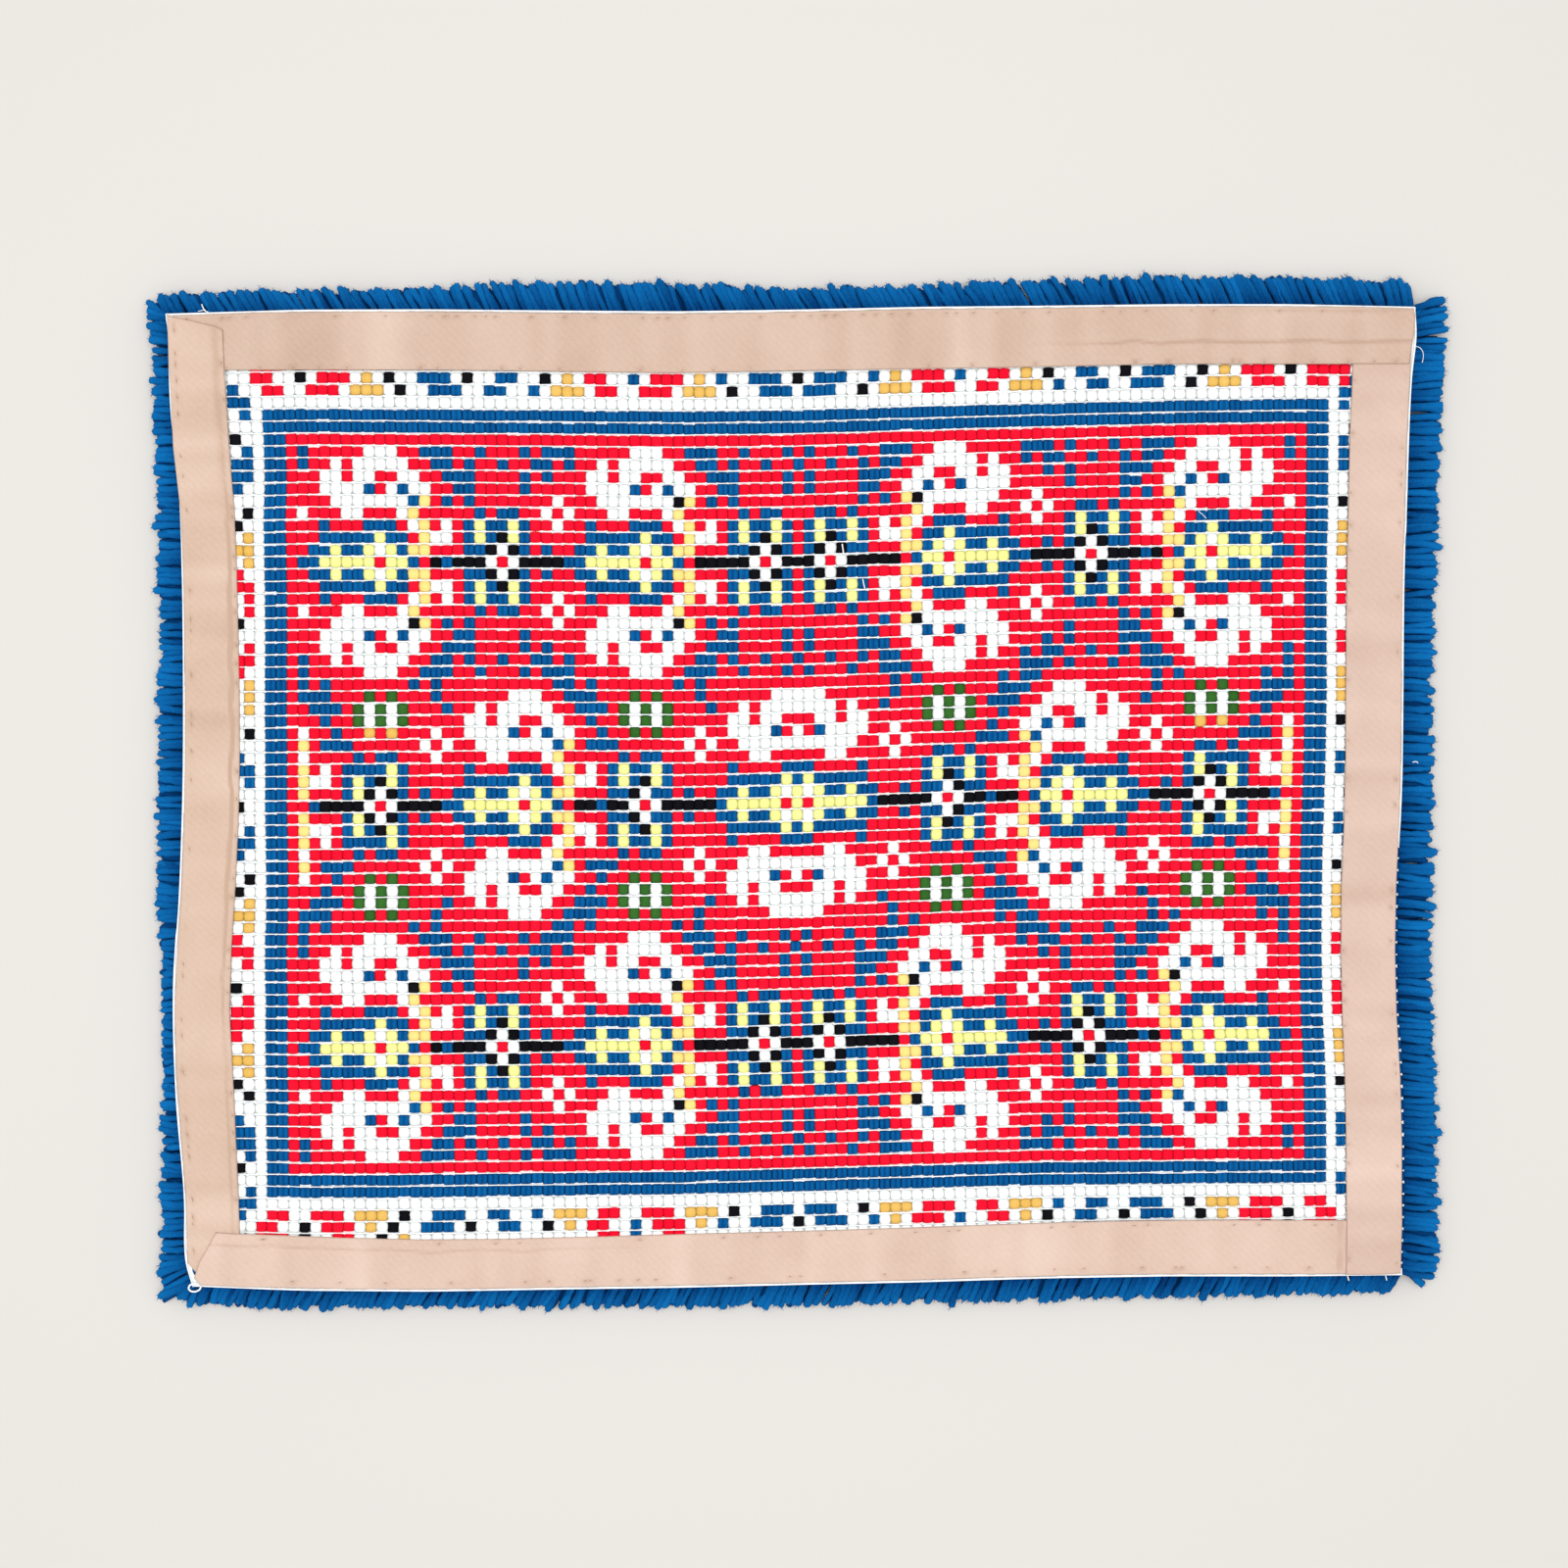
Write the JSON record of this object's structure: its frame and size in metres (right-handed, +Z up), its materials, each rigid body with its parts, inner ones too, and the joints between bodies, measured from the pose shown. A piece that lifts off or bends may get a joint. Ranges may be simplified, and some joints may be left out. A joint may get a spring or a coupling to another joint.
{
  "type": "latch hook rug",
  "caption": "Small rectangular latch hook rug lying pile down, its knotted back up, with four hand-sewn strips of binding tape and cut yarn standing out round the rim.",
  "frame": {"origin": "on the floor, under the middle of the rug's box", "axes": "+X along the long side, to the right in the picture; +Y along the short side, to its top; +Z up from the floor, out of the rug's back"},
  "size_m": [0.8104, 0.6452, 0.0199],
  "materials": {
    "yarn_red": "matt twisted acrylic and wool rug yarn",
    "yarn_blue": "matt twisted acrylic and wool rug yarn",
    "yarn_white": "matt twisted acrylic and wool rug yarn",
    "yarn_cream": "matt twisted acrylic and wool rug yarn",
    "yarn_straw": "matt twisted acrylic and wool rug yarn",
    "yarn_gold": "matt twisted acrylic and wool rug yarn",
    "yarn_green": "matt twisted acrylic and wool rug yarn",
    "yarn_black": "matt twisted acrylic and wool rug yarn",
    "canvas_cotton": "stiff white cotton rug canvas",
    "binding_tape": "matt beige cotton twill tape",
    "sewing_thread": "white cotton sewing thread"
  },
  "bodies": {
    "root": {"canvas": "yarn_red", "pile": "yarn_blue", "binding_top": "binding_tape", "binding_right": "binding_tape", "binding_bottom": "binding_tape", "binding_left": "binding_tape"}
  },
  "joints": []
}
